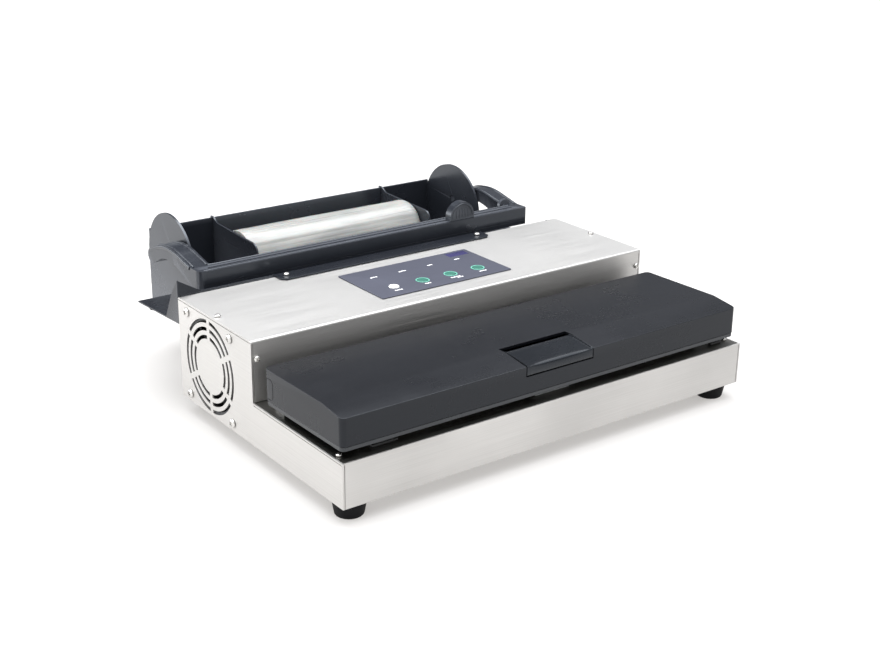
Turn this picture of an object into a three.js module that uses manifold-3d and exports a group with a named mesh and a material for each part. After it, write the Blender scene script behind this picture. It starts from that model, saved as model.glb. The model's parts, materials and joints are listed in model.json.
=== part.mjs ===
// External vacuum sealer with a hinged lid, and a roll holder with a sliding cutter behind it.
// Millimetres, +Z up. X runs across the front, Y from the front to the back.
// The origin is under the middle of the machine, where its feet stand.
// Inside this file, heights are taken from the housing's underside and depths from its front face.

import * as THREE from "three";
import { mergeVertices } from "three/addons/utils/BufferGeometryUtils.js";
import Module from "manifold-3d";

const wasm = await Module();
wasm.setup();

// ---------------------------------------------------------------- driving dimensions

const GAP = 0.3; // between pieces that touch
const WALL = 1.5; // sheet steel

// Housing
const HALF_WIDTH = 233;
const DEPTH = 285;
const TOWER_DEPTH = 139;
const TOWER_HEIGHT = 100;
const DECK_HEIGHT = 41.5;
const TOWER_FRONT = DEPTH - TOWER_DEPTH;
const TOWER_EDGE_RADIUS = 2;
const FOOT_HEIGHT = 16;
const FOOT = { frontX: 215, rearX: 190, frontY: 19, rearY: DEPTH - 19 };

// Cooling fan
const FAN = { y: 226, z: 49, size: 92, depth: 25, hole: 41.25 };
const GRILLE_RADII = [45.8, 38.2, 30.4];
const GRILLE_SLOT = 3.6;
const GRILLE_SPOKES = 6;
const SPOKE_WIDTH = 5.2;

// Screws: one pan head, in the sizes that the machine uses
const SCREW_HEAD = 2.2;
const FAN_SCREW_HEAD = 4.5;
const SHANK_RADIUS = 1.6;
const SHANK_HOLE = SHANK_RADIUS + 0.4;

// Control panel
const PANEL = { halfWidth: 78, front: 170, rear: 249, thick: 0.8 };
const BUTTON = { radius: 5.2, y: 192.3, first: -50, pitch: 34, proud: 0.7 };
const BUTTON_NAMES = ["button_power", "button_vacuum", "button_seal", "button_stop"];

// Lid, measured from its hinge axis
const HINGE = { y: 118, z: 62 };
const LID_TILT = THREE.MathUtils.degToRad(0.69);
const LID = { halfWidth: 229.5, front: -111.7, rear: 12, bottom: -15.2, top: 18.8, wall: 3, corner: 5 };
const BAND = { rear: -82, drop: 4.4 };
const LINER = { inset: 0.4, thick: 3.6 };
const HINGE_BRACKET_X = 219;
const HINGE_PIN_RADIUS = 3;
const LATCH = { x: 2.2, halfWidth: 39, rear: -78.5, fold: -85, sunk: 1.3, bottom: 5.1, thick: 2.5, proud: 1.4 };
const LATCH_WINDOW_REAR = -72;
const HOOK = { x: 14, halfWidth: 4, front: 8, thick: 3, tooth: 3, toothHeight: 1.6, drop: 2.6 };
const CATCH = { halfWidth: 20, front: 19, rear: 24, top: 45 };

// Vacuum deck
const TROUGH = { halfWidth: 200, front: 48, rear: 102, depth: 15 };
const SEAL_BAR = { halfWidth: 196, front: 26, rear: 36, top: 44.4 };
const GASKET_WIDTH = 4.5;
const TROUGH_PORT_X = 150;

// Roll holder
const TRAY = { halfWidth: 181, front: 354.5, rear: 456.5, bottom: 45, wall: 2.5, rearTop: 115, frontTop: 88 };
const END_PLATE = { centreZ: 92, bottom: 38 };
const SHELF = { front: 74, rear: 69, end: 376 };
const FLANGE = { halfWidth: 129, front: 268, chamfer: 5 };
const EAR = { top: 116, width: 24 };
const GUSSET = { foot: 312.6, knee: 297.5, kneeZ: 101.4 };
const RIVET = { x: 222, y: 362, radius: 4 };
const BRACKET_SCREW = { x: 118.5, y: 279 };
const ROLL = { left: -104.5, right: 111.5, y: 400, radius: 33, core: 19, bore: 17 };
const DIVIDER_THICK = 2;
const DIVIDER_X = [ROLL.left - 1.5, ROLL.right + 1.5];

// Cutter
const BAR = { halfWidth: 203, front: 298, rear: 317, bottom: 95.5, top: 114.5, corner: 8 };
const ARM_WIDTH = 20;
const PIVOT = { y: 403.5, z: 103.5, radius: 4 };
const KNOB = { x: 114, radius: 16, front: 299.5, rear: 308.5 };
const BLADE_Y = 307;

const REAR_END = TRAY.rear + GAP + DIVIDER_THICK;

// ---------------------------------------------------------------- solid helpers

/** Turns a closed geometry into a solid that can be cut and joined. */
function solid(geometry) {
  const bare = geometry.clone();
  bare.deleteAttribute("normal");
  bare.deleteAttribute("uv");
  const merged = mergeVertices(bare, 1e-4);
  return new wasm.Manifold(new wasm.Mesh({
    numProp: 3,
    vertProperties: new Float32Array(merged.attributes.position.array),
    triVerts: new Uint32Array(merged.index.array),
  }));
}

/** Turns a solid back into a geometry. */
function geometryOf(body) {
  const mesh = body.getMesh();
  const geometry = new THREE.BufferGeometry();
  geometry.setAttribute("position", new THREE.BufferAttribute(mesh.vertProperties, 3));
  geometry.setIndex(new THREE.BufferAttribute(mesh.triVerts, 1));
  geometry.computeVertexNormals();
  return geometry;
}

/** A block between two corners. */
function block([x0, y0, z0], [x1, y1, z1]) {
  const box = new THREE.BoxGeometry(x1 - x0, y1 - y0, z1 - z0);
  return solid(box.translate((x0 + x1) / 2, (y0 + y1) / 2, (z0 + z1) / 2));
}

/** A block that is centred on X = 0. */
function centredBlock(halfWidth, [y0, z0], [y1, z1]) {
  return block([-halfWidth, y0, z0], [halfWidth, y1, z1]);
}

const AXES = {
  x: [new THREE.Vector3(0, 1, 0), new THREE.Vector3(0, 0, 1), new THREE.Vector3(1, 0, 0)],
  y: [new THREE.Vector3(0, 0, 1), new THREE.Vector3(1, 0, 0), new THREE.Vector3(0, 1, 0)],
  z: [new THREE.Vector3(1, 0, 0), new THREE.Vector3(0, 1, 0), new THREE.Vector3(0, 0, 1)],
};

/** Extrudes a Shape along an axis. Its outline is in (Y, Z) for x, (Z, X) for y and (X, Y) for z. */
function prism(axis, shape, from, to, curveSegments = 8) {
  const geometry = new THREE.ExtrudeGeometry(shape, { depth: to - from, bevelEnabled: false, curveSegments });
  const [u, v, w] = AXES[axis];
  const place = new THREE.Matrix4().makeBasis(u, v, w).setPosition(w.clone().multiplyScalar(from));
  return solid(geometry.applyMatrix4(place));
}

/** A round bar along an axis, with its centre at (u, v) in that axis's outline plane. */
function rod(axis, radius, [u, v], from, to, sides = 24) {
  const circle = new THREE.Shape();
  circle.absarc(u, v, radius, 0, Math.PI * 2);
  return prism(axis, circle, from, to, sides / 2);
}

/** A straight-sided outline. */
function polygon(points) {
  return new THREE.Shape(points.map(([x, y]) => new THREE.Vector2(x, y)));
}

/** A rectangle with round corners. */
function roundedRectangle(x0, y0, x1, y1, r) {
  const shape = new THREE.Shape();
  shape.moveTo(x0 + r, y0);
  shape.absarc(x1 - r, y0 + r, r, -Math.PI / 2, 0);
  shape.absarc(x1 - r, y1 - r, r, 0, Math.PI / 2);
  shape.absarc(x0 + r, y1 - r, r, Math.PI / 2, Math.PI);
  shape.absarc(x0 + r, y0 + r, r, Math.PI, Math.PI * 1.5);
  return shape;
}

/** A flat plate with round corners, lying level. */
function roundedPlate(halfWidth, y0, y1, r, z0, z1) {
  return prism("z", roundedRectangle(-halfWidth, y0, halfWidth, y1, r), z0, z1, 5);
}

/** A solid of revolution about Z from a closed profile of [radius, height] points. */
function turned(profile, sides = 32) {
  return solid(new THREE.LatheGeometry(profile.map(([r, z]) => new THREE.Vector2(r, z)), sides).rotateX(Math.PI / 2));
}

/** Everything in a list joined to the first. */
function joined(first, ...others) {
  return others.reduce((body, other) => body.add(other), first);
}

/** The first body with all the others cut out of it. */
function cut(first, ...others) {
  return others.reduce((body, other) => body.subtract(other), first);
}

// ---------------------------------------------------------------- materials

const finishes = {
  steel: [0xc9c8c4, 0.32, 1],
  darkSteel: [0x8d9094, 0.4, 1],
  aluminium: [0xb6b9bd, 0.45, 1],
  screw: [0xb9b8b5, 0.3, 1],
  blackPlastic: [0x1d1e23, 0.42, 0],
  glossBlack: [0x15161a, 0.28, 0],
  rubber: [0x101012, 0.85, 0],
  foam: [0x26272a, 0.95, 0],
  silicone: [0x9a4a3c, 0.7, 0],
  panel: [0x4b4a5f, 0.45, 0],
  whiteKey: [0xf1f1ee, 0.5, 0],
  greenKey: [0x3f9d7d, 0.5, 0],
  film: [0xe9e8e2, 0.35, 0],
  cardboard: [0x9c7c55, 0.9, 0],
  copper: [0xa8622f, 0.45, 1],
  board: [0x1f5a38, 0.6, 0],
  brass: [0xb08d42, 0.35, 1],
};

const machine = new THREE.Group();
machine.position.set(0, -REAR_END / 2, FOOT_HEIGHT);

/** Adds one named piece to a group. */
function add(name, body, finish, parent = machine) {
  const [color, roughness, metalness] = finishes[finish];
  const mesh = new THREE.Mesh(geometryOf(body), new THREE.MeshStandardMaterial({ color, roughness, metalness }));
  mesh.name = name;
  parent.add(mesh);
  return mesh;
}

// ---------------------------------------------------------------- screws

/** A pan-head screw on +Z, with the underside of its head at the origin. */
function screw(headRadius, shank) {
  return turned([
    [0, -shank], [SHANK_RADIUS, -shank], [SHANK_RADIUS, 0], [headRadius, 0],
    [headRadius * 0.9, 1.3], [headRadius * 0.45, SCREW_HEAD], [0, SCREW_HEAD],
  ], 12);
}

const FACING = {
  up: [0, 0, 0],
  front: [Math.PI / 2, 0, 0],
  left: [0, -Math.PI / 2, 0],
  right: [0, Math.PI / 2, 0],
};

/** Places a screw with its head on a face that looks the way it is named. */
function addScrew(name, [x, y, z], facing, headRadius = 3.4, shank = 5) {
  const mesh = add(name, screw(headRadius, shank), "screw");
  mesh.position.set(x, y, z);
  mesh.rotation.set(...FACING[facing]);
}

const fanCorners = [[1, 1], [-1, 1], [-1, -1], [1, -1]];
const fanScrewSpots = fanCorners.map(([sy, sz]) => [FAN.y + sy * FAN.hole, FAN.z + sz * FAN.hole]);
const sideScrewSpots = [[TOWER_FRONT + 22, TOWER_HEIGHT - 14], [DEPTH - 22, TOWER_HEIGHT - 14]];
const COVER_SCREW = { x: 227, y: 217 };
const WALL_SCREW = { x: 227.5, z: 83 };
const DECK_SCREW = { x: 226.4, y: 15.8 };

// ---------------------------------------------------------------- housing

/** The side view of the housing, inset from its outer skin. */
function housingProfile(inset, floor) {
  const front = inset;
  const rear = DEPTH - inset;
  const top = TOWER_HEIGHT - inset;
  const step = TOWER_FRONT + inset;
  const r = TOWER_EDGE_RADIUS;
  const shape = new THREE.Shape();
  shape.moveTo(front, floor);
  shape.lineTo(rear, floor);
  shape.absarc(rear - r, top - r, r, 0, Math.PI / 2);
  shape.absarc(step + r, top - r, r, Math.PI / 2, Math.PI);
  shape.lineTo(step, DECK_HEIGHT + 10);
  shape.lineTo(step, DECK_HEIGHT - inset);
  shape.lineTo(front, DECK_HEIGHT - inset);
  return shape;
}

/** One ring segment of the fan grille, cut through the left wall. */
function grilleSlot(radius, spoke) {
  const middle = radius - GRILLE_SLOT / 2;
  const clear = SPOKE_WIDTH / 2 / middle;
  const start = Math.PI / 2 + spoke * (Math.PI * 2) / GRILLE_SPOKES + clear;
  const end = start + (Math.PI * 2) / GRILLE_SPOKES - 2 * clear;
  const shape = new THREE.Shape();
  shape.absarc(FAN.y, FAN.z, radius, start, end, false);
  shape.absarc(FAN.y, FAN.z, radius - GRILLE_SLOT, end, start, true);
  return prism("x", shape, -HALF_WIDTH - 1, -HALF_WIDTH + WALL + 1, 4);
}

const INLET = { x: 165, z: 30, halfWidth: 13.8, halfHeight: 10 };
const ROCKER = { x: 115, z: 30, halfWidth: 9.5, halfHeight: 6.5 };
const BEZEL = { side: 3, thick: 1.8 };
const VENT = { rows: 7, columns: [190, 232], bottom: 22, pitch: 8, halfLength: 16, height: 3 };

function makeHousing() {
  const outer = prism("x", housingProfile(0, 0), -HALF_WIDTH, HALF_WIDTH);
  const inner = prism("x", housingProfile(WALL, -1), -HALF_WIDTH + WALL, HALF_WIDTH - WALL);
  const deckOpening = centredBlock(
    HALF_WIDTH - WALL, [WALL, DECK_HEIGHT - 5], [TOWER_FRONT + WALL + 1, DECK_HEIGHT + GAP],
  );
  let shell = cut(outer, inner, deckOpening);
  for (const radius of GRILLE_RADII) {
    for (let spoke = 0; spoke < GRILLE_SPOKES; spoke++) shell = shell.subtract(grilleSlot(radius, spoke));
  }
  for (const spot of fanScrewSpots) {
    shell = shell.subtract(rod("x", SHANK_HOLE, spot, -HALF_WIDTH - 1, -HALF_WIDTH + WALL + 1, 8));
  }
  for (const spot of sideScrewSpots) {
    shell = shell.subtract(rod("x", SHANK_HOLE, spot, HALF_WIDTH - WALL - 1, HALF_WIDTH + 1, 8));
  }
  for (let row = 0; row < VENT.rows; row++) {
    for (const y of VENT.columns) {
      const z = VENT.bottom + row * VENT.pitch;
      const from = [HALF_WIDTH - WALL - 1, y - VENT.halfLength, z];
      shell = shell.subtract(block(from, [HALF_WIDTH + 1, y + VENT.halfLength, z + VENT.height]));
    }
  }
  for (const side of [-1, 1]) {
    const screwHoles = [
      rod("z", SHANK_HOLE, [side * COVER_SCREW.x, COVER_SCREW.y], TOWER_HEIGHT - WALL - 1, TOWER_HEIGHT + 1, 8),
      rod("z", SHANK_HOLE, [side * BRACKET_SCREW.x, BRACKET_SCREW.y], TOWER_HEIGHT - WALL - 1, TOWER_HEIGHT + 1, 8),
      rod("y", SHANK_HOLE, [WALL_SCREW.z, side * WALL_SCREW.x], TOWER_FRONT - 1, TOWER_FRONT + WALL + 1, 8),
    ];
    shell = cut(shell, ...screwHoles);
  }
  BUTTON_NAMES.forEach((name, i) => {
    const spot = [BUTTON.first + i * BUTTON.pitch, BUTTON.y];
    shell = shell.subtract(rod("z", BUTTON.radius + 0.4, spot, TOWER_HEIGHT - WALL - 1, TOWER_HEIGHT + 1, 8));
  });
  for (const hole of [INLET, ROCKER]) {
    shell = shell.subtract(block(
      [hole.x - hole.halfWidth, DEPTH - WALL - 1, hole.z - hole.halfHeight],
      [hole.x + hole.halfWidth, DEPTH + 1, hole.z + hole.halfHeight],
    ));
  }
  return shell;
}

add("housing_shell", makeHousing(), "steel");

function makeDeck() {
  const z0 = DECK_HEIGHT - GAP - WALL;
  const z1 = DECK_HEIGHT - GAP;
  const half = HALF_WIDTH - WALL - GAP;
  const plate = centredBlock(half, [WALL + GAP, z0], [TOWER_FRONT + WALL, z1]);
  const opening = centredBlock(TROUGH.halfWidth + GAP, [TROUGH.front - GAP, z0 - 1], [TROUGH.rear + GAP, z1 + 1]);
  const holes = [-1, 1].map((side) => rod("z", SHANK_HOLE, [side * DECK_SCREW.x, DECK_SCREW.y], z0 - 1, z1 + 1, 8));
  return cut(plate, opening, ...holes);
}

add("deck_plate", makeDeck(), "steel");

const BASE_PAN = { z0: 0.6, z1: 2.1 };
const FOOT_SPOTS = {
  foot_front_left: [-FOOT.frontX, FOOT.frontY],
  foot_front_right: [FOOT.frontX, FOOT.frontY],
  foot_rear_left: [-FOOT.rearX, FOOT.rearY],
  foot_rear_right: [FOOT.rearX, FOOT.rearY],
};

function makeBasePan() {
  const half = HALF_WIDTH - WALL - GAP;
  let pan = centredBlock(half, [WALL + GAP, BASE_PAN.z0], [DEPTH - WALL - GAP, BASE_PAN.z1]);
  for (const spot of Object.values(FOOT_SPOTS)) pan = pan.subtract(rod("z", 3.4, spot, 0, 4, 8));
  return pan;
}

add("base_pan", makeBasePan(), "darkSteel");

/** A tapered rubber foot with the spigot that holds it in the base pan. */
function makeFoot() {
  const top = BASE_PAN.z0 - GAP;
  return turned([
    [0, -FOOT_HEIGHT], [12, -FOOT_HEIGHT], [13, -FOOT_HEIGHT + 1.5], [15.5, top - 1], [15.5, top],
    [3, top], [3, BASE_PAN.z1 + GAP], [4.4, BASE_PAN.z1 + GAP + 0.2], [2.5, BASE_PAN.z1 + 4], [0, BASE_PAN.z1 + 4],
  ], 20);
}

for (const [name, [x, y]] of Object.entries(FOOT_SPOTS)) add(name, makeFoot(), "rubber").position.set(x, y, 0);

fanScrewSpots.forEach(([y, z], i) => {
  addScrew(`fan_screw_${i + 1}`, [-HALF_WIDTH - GAP, y, z], "left", FAN_SCREW_HEAD, 9);
});
sideScrewSpots.forEach(([y, z], i) => addScrew(`side_screw_${i + 1}`, [HALF_WIDTH + GAP, y, z], "right", 3.8));
for (const [end, side] of [["left", -1], ["right", 1]]) {
  addScrew(`cover_screw_${end}`, [side * COVER_SCREW.x, COVER_SCREW.y, TOWER_HEIGHT + GAP], "up", 3);
  addScrew(`wall_screw_${end}`, [side * WALL_SCREW.x, TOWER_FRONT - GAP, WALL_SCREW.z], "front", 3, 3.5);
  addScrew(`deck_screw_${end}`, [side * DECK_SCREW.x, DECK_SCREW.y, DECK_HEIGHT], "up", 2.6, 4);
}

// ---------------------------------------------------------------- cooling fan

const FAN_INNER = -HALF_WIDTH + WALL + GAP;

function makeFanFrame() {
  const half = FAN.size / 2;
  const hubFrom = FAN_INNER + FAN.depth - 3;
  let frame = block([FAN_INNER, FAN.y - half, FAN.z - half], [FAN_INNER + FAN.depth, FAN.y + half, FAN.z + half]);
  frame = frame.subtract(rod("x", 43.5, [FAN.y, FAN.z], FAN_INNER - 1, FAN_INNER + FAN.depth + 1, 40));
  for (const spot of fanScrewSpots) {
    frame = frame.subtract(rod("x", 2.2, spot, FAN_INNER - 1, FAN_INNER + FAN.depth + 1, 8));
  }
  frame = frame.add(rod("x", 18, [FAN.y, FAN.z], hubFrom, FAN_INNER + FAN.depth, 20));
  const strut = block([hubFrom, FAN.y - 2, FAN.z - 44.5], [FAN_INNER + FAN.depth, FAN.y + 2, FAN.z + 44.5]);
  const crossStrut = block([hubFrom, FAN.y - 44.5, FAN.z - 2], [FAN_INNER + FAN.depth, FAN.y + 44.5, FAN.z + 2]);
  return joined(frame, strut, crossStrut);
}

/** The rotor turns about its own origin. */
function makeFanRotor() {
  let rotor = rod("x", 17, [0, 0], 3, FAN.depth - 3 - GAP, 20);
  const blades = 7;
  for (let i = 0; i < blades; i++) {
    const blade = new THREE.BoxGeometry(16, 1.4, 26);
    blade.rotateZ(THREE.MathUtils.degToRad(35)).translate(11.5, 0, 28).rotateX((i * Math.PI * 2) / blades);
    rotor = rotor.add(solid(blade));
  }
  return rotor;
}

add("fan_frame", makeFanFrame(), "blackPlastic");
add("fan_rotor", makeFanRotor(), "blackPlastic").position.set(FAN_INNER, FAN.y, FAN.z);

// ---------------------------------------------------------------- control panel

const PANEL_BOTTOM = TOWER_HEIGHT + GAP;
const PANEL_TOP = PANEL_BOTTOM + PANEL.thick;
const buttonSpots = BUTTON_NAMES.map((name, i) => [BUTTON.first + i * BUTTON.pitch, BUTTON.y]);

function makePanel() {
  const overlay = roundedPlate(PANEL.halfWidth, PANEL.front, PANEL.rear, 1.5, PANEL_BOTTOM, PANEL_TOP);
  const holes = buttonSpots.map((spot) => rod("z", BUTTON.radius + GAP, spot, PANEL_BOTTOM - 1, PANEL_TOP + 1));
  return cut(overlay, ...holes);
}

add("control_panel", makePanel(), "panel");
BUTTON_NAMES.forEach((name, i) => {
  const cap = rod("z", BUTTON.radius, [0, 0], TOWER_HEIGHT - 3, PANEL_TOP + BUTTON.proud);
  add(name, cap, i === 0 ? "whiteKey" : "greenKey").position.set(...buttonSpots[i], 0);
});

const BOARD = { halfWidth: 72, front: 165, rear: 252, bottom: 82, thick: 1.6, switchTop: 95.7 };

function makeBoard() {
  const top = BOARD.bottom + BOARD.thick;
  const plate = centredBlock(BOARD.halfWidth, [BOARD.front, BOARD.bottom], [BOARD.rear, top]);
  const switches = buttonSpots.map(([x, y]) => block([x - 3, y - 3, top - 1], [x + 3, y + 3, BOARD.switchTop]));
  const relay = block([-60, 215, top - 1], [-42, 230, top + 9]);
  const display = block([48, 228, top - 1], [70, 246, top + 10]);
  const connector = block([-30, 235, top - 1], [10, 243, top + 7]);
  return joined(plate, ...switches, relay, display, connector);
}

add("circuit_board", makeBoard(), "board");

// ---------------------------------------------------------------- vacuum deck

const deckTop = DECK_HEIGHT - GAP;

function makeTrough() {
  const { halfWidth, front, rear, depth } = TROUGH;
  const flangeTop = deckTop - WALL - GAP;
  const outside = centredBlock(halfWidth, [front, deckTop - depth], [rear, deckTop]);
  const inside = centredBlock(halfWidth - 1, [front + 1, deckTop - depth + 1], [rear - 1, deckTop + 1]);
  const flange = centredBlock(halfWidth + 5, [front - 5, flangeTop - 1], [rear + 5, flangeTop]);
  const portAt = [TROUGH_PORT_X, (front + rear) / 2];
  const spout = rod("z", 4.5, portAt, deckTop - depth - 8, deckTop - depth + 0.5, 16);
  const bore = rod("z", 3, portAt, deckTop - depth - 9, deckTop - depth + 2, 16);
  return cut(joined(outside, flange, spout), inside, bore);
}

add("vacuum_trough", makeTrough(), "steel");

/** A flat gasket ring around the trough's opening. */
function gasketRing(offset, [y0, y1], [z0, z1]) {
  const inner = roundedPlate(TROUGH.halfWidth + offset, y0, y1, 6, z0 - 1, z1 + 1);
  const w = GASKET_WIDTH;
  return cut(roundedPlate(TROUGH.halfWidth + offset + w, y0 - w, y1 + w, 6 + w, z0, z1), inner);
}

const GASKET_SPAN = [TROUGH.front - 2, TROUGH.rear + 2];
add("lower_gasket", gasketRing(1.5, GASKET_SPAN, [DECK_HEIGHT, DECK_HEIGHT + 2.6]), "foam");
add("seal_bar", centredBlock(
  SEAL_BAR.halfWidth, [SEAL_BAR.front, DECK_HEIGHT], [SEAL_BAR.rear, SEAL_BAR.top],
), "aluminium");
const STRIP_BOTTOM = SEAL_BAR.top + GAP;
add("heater_strip", centredBlock(
  SEAL_BAR.halfWidth - 4, [SEAL_BAR.front + 2, STRIP_BOTTOM], [SEAL_BAR.rear - 2, STRIP_BOTTOM + 0.4],
), "brass");

function makeCatch() {
  const { front, rear, top } = CATCH;
  const upright = centredBlock(CATCH.halfWidth, [rear - WALL, DECK_HEIGHT], [rear, top]);
  const lip = centredBlock(CATCH.halfWidth, [front, top - WALL], [rear, top]);
  const foot = centredBlock(CATCH.halfWidth, [front - 3, DECK_HEIGHT], [rear, DECK_HEIGHT + 1]);
  return joined(upright, lip, foot);
}

add("latch_catch", makeCatch(), "darkSteel").position.x = LATCH.x;

/** A lid bracket on the deck, with the pin that the lid turns on. side is -1 on the left. */
function makeHingeBracket(side) {
  const x = HINGE_BRACKET_X;
  const ear = block([x, HINGE.y - 7, DECK_HEIGHT], [x + 3, HINGE.y + 7, HINGE.z]);
  const eye = rod("x", 7, [HINGE.y, HINGE.z], x, x + 3);
  const foot = block([x - 10, HINGE.y - 9, DECK_HEIGHT], [x + 1, HINGE.y + 9, DECK_HEIGHT + WALL]);
  const pin = rod("x", HINGE_PIN_RADIUS, [HINGE.y, HINGE.z], x + 1, LID.halfWidth - 1.3);
  const bracket = joined(ear, eye, foot, pin);
  return side > 0 ? bracket : bracket.mirror([1, 0, 0]);
}

add("hinge_bracket_left", makeHingeBracket(-1), "darkSteel");
add("hinge_bracket_right", makeHingeBracket(1), "darkSteel");

// ---------------------------------------------------------------- lid, about its hinge axis

const lid = new THREE.Group();
lid.position.set(0, HINGE.y, HINGE.z);
lid.rotation.x = -LID_TILT;
machine.add(lid);

const LID_SKIRT = LID.bottom + LINER.thick + GAP;

function makeLidCover() {
  const { halfWidth, front, rear, top, wall, corner } = LID;
  const outside = roundedPlate(halfWidth, front, rear, corner, LID_SKIRT, top);
  const inside = roundedPlate(halfWidth - wall, front + wall, rear - wall, corner - wall, LID_SKIRT - 1, top - wall);
  const bandWedge = (drop, reach) => polygon([
    [front - reach, top + 5 - drop], [front - reach, top - BAND.drop - drop], [front, top - BAND.drop - drop],
    [BAND.rear, top - drop], [BAND.rear, top + 5 - drop],
  ]);
  const outerBand = prism("x", bandWedge(0, 1), -halfWidth - 1, halfWidth + 1);
  const underBand = prism("x", bandWedge(wall, 0), -halfWidth, halfWidth);
  const hollow = inside.subtract(underBand);
  const pinHoles = [-1, 1].map((side) => {
    const ends = [side * (halfWidth - 1), side * (halfWidth - wall - 1)].sort((a, b) => a - b);
    return rod("x", HINGE_PIN_RADIUS + GAP, [0, 0], ...ends);
  });
  const earSlots = [-1, 1].map((side) => {
    const xs = [side * (HINGE_BRACKET_X - 0.6), side * (HINGE_BRACKET_X + 3.6)].sort((a, b) => a - b);
    return block([xs[0], 0, LID_SKIRT - 1], [xs[1], rear + 1, 8.5]);
  });
  const flapWindow = block(
    [LATCH.x - LATCH.halfWidth - 0.5, front - 1, LATCH.bottom - 0.4],
    [LATCH.x + LATCH.halfWidth + 0.5, LATCH_WINDOW_REAR, top + 1],
  );
  return cut(outside, hollow, outerBand, ...pinHoles, ...earSlots, flapWindow);
}

add("lid_cover", makeLidCover(), "blackPlastic", lid);

function makeLidLiner() {
  const { halfWidth, front, rear, bottom, corner } = LID;
  const i = LINER.inset;
  const plate = roundedPlate(halfWidth - i, front + i, rear - i, corner - i, bottom, bottom + LINER.thick);
  const slotHalf = HOOK.x + HOOK.halfWidth + 1;
  const hookSlot = block(
    [LATCH.x - slotHalf, front + 3, bottom - 1],
    [LATCH.x + slotHalf, front + 16, bottom + LINER.thick + 1],
  );
  const hingeSlots = [-1, 1].map((side) => {
    const xs = [side * (HINGE_BRACKET_X - 12), side * (LID.halfWidth - 4)].sort((a, b) => a - b);
    return block([xs[0], -14, bottom - 1], [xs[1], rear + 1, bottom + LINER.thick + 1]);
  });
  return cut(plate, hookSlot, ...hingeSlots);
}

add("lid_liner", makeLidLiner(), "blackPlastic", lid);

const underLiner = LID.bottom - GAP;
const localSpan = GASKET_SPAN.map((y) => y - HINGE.y);
add("upper_gasket", gasketRing(1.5, localSpan, [underLiner - 2, underLiner]), "foam", lid);
add("pressure_strip", centredBlock(
  SEAL_BAR.halfWidth, [SEAL_BAR.front - HINGE.y, underLiner - 2], [SEAL_BAR.rear - HINGE.y, underLiner],
), "silicone", lid);

/** The latch flap lies in the lid's bevelled band, sunk at its rear, and ends in a front lip over two hooks. */
function makeLatchFlap() {
  const { top, front } = LID;
  const { thick, rear, fold, sunk, bottom, halfWidth, proud } = LATCH;
  const bandFront = top - BAND.drop;
  const lipFront = front - proud;
  const skin = prism("x", polygon([
    [rear, top - sunk - thick], [rear, top - sunk], [fold, top - sunk], [lipFront, bandFront], [lipFront, bottom],
    [lipFront + thick, bottom], [lipFront + thick, bandFront - thick], [fold, top - sunk - thick],
  ]), -halfWidth, halfWidth);
  const hookFront = front + HOOK.front;
  const hookRear = hookFront + HOOK.thick;
  const hookBottom = LID.bottom - HOOK.drop;
  const hooks = [-HOOK.x, HOOK.x].map((x) => {
    const [left, right] = [x - HOOK.halfWidth, x + HOOK.halfWidth];
    const arm = block([left, hookFront, hookBottom], [right, hookRear, bandFront - thick + 1.5]);
    const tooth = block([left, hookFront, hookBottom], [right, hookRear + HOOK.tooth, hookBottom + HOOK.toothHeight]);
    return arm.add(tooth);
  });
  return joined(skin, ...hooks);
}

add("latch_flap", makeLatchFlap(), "glossBlack", lid).position.x = LATCH.x;

// ---------------------------------------------------------------- vacuum pump and electrics

const MOTOR = { y: 214, z: 44, radius: 32, left: 112, right: 190 };
const CRANKCASE = { left: 62, right: MOTOR.left - GAP };
const PUMP_FLOOR = BASE_PAN.z1 + GAP;

function makeCrankcase() {
  const body = block([CRANKCASE.left, MOTOR.y - 34, PUMP_FLOOR], [CRANKCASE.right, MOTOR.y + 34, MOTOR.z + 24]);
  const hollow = rod("x", 20, [MOTOR.y, MOTOR.z], CRANKCASE.left + 6, CRANKCASE.right + 1, 24);
  return cut(body, hollow);
}

function makeMotorHousing() {
  const body = rod("x", MOTOR.radius, [MOTOR.y, MOTOR.z], MOTOR.left, MOTOR.right, 32);
  const feet = block([MOTOR.left + 15, MOTOR.y - 28, PUMP_FLOOR], [MOTOR.right - 15, MOTOR.y + 28, MOTOR.z - 20]);
  const bore = rod("x", 6, [MOTOR.y, MOTOR.z], MOTOR.left - 1, MOTOR.right + 1, 16);
  return cut(joined(body, feet), bore);
}

/** The shaft, with its balance weight in the crankcase, about its own axis. */
function makeMotorShaft() {
  const shaft = rod("x", 5.5, [0, 0], CRANKCASE.left + 8, MOTOR.right + 6, 16);
  const weight = rod("x", 12, [5, 0], CRANKCASE.left + 14, CRANKCASE.left + 34, 20);
  return shaft.add(weight);
}

function makeCylinderHead() {
  const top = MOTOR.z + 24 + GAP;
  const head = block([CRANKCASE.left + 2, MOTOR.y - 30, top], [CRANKCASE.right - 2, MOTOR.y + 30, top + 10]);
  const inlet = rod("y", 4.5, [top + 5, (CRANKCASE.left + CRANKCASE.right) / 2], MOTOR.y - 40, MOTOR.y - 29, 16);
  return head.add(inlet);
}

add("pump_crankcase", makeCrankcase(), "aluminium");
add("pump_cylinder_head", makeCylinderHead(), "aluminium");
add("motor_housing", makeMotorHousing(), "darkSteel");
add("motor_shaft", makeMotorShaft(), "steel").position.set(0, MOTOR.y, MOTOR.z);

/** A laminated core with the two windings on its middle limb. */
function makeTransformer() {
  const core = block([-70, 190, PUMP_FLOOR], [-6, 210, 56]);
  const windings = block([-56, 180, 14], [-20, 220, 46]);
  return joined(core, windings);
}

add("transformer", makeTransformer(), "copper");

function makeSolenoidValve() {
  const body = block([14, 172, PUMP_FLOOR], [38, 196, 34]);
  const coil = rod("z", 9, [26, 184], 33, 58, 20);
  return joined(body, coil);
}

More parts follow.
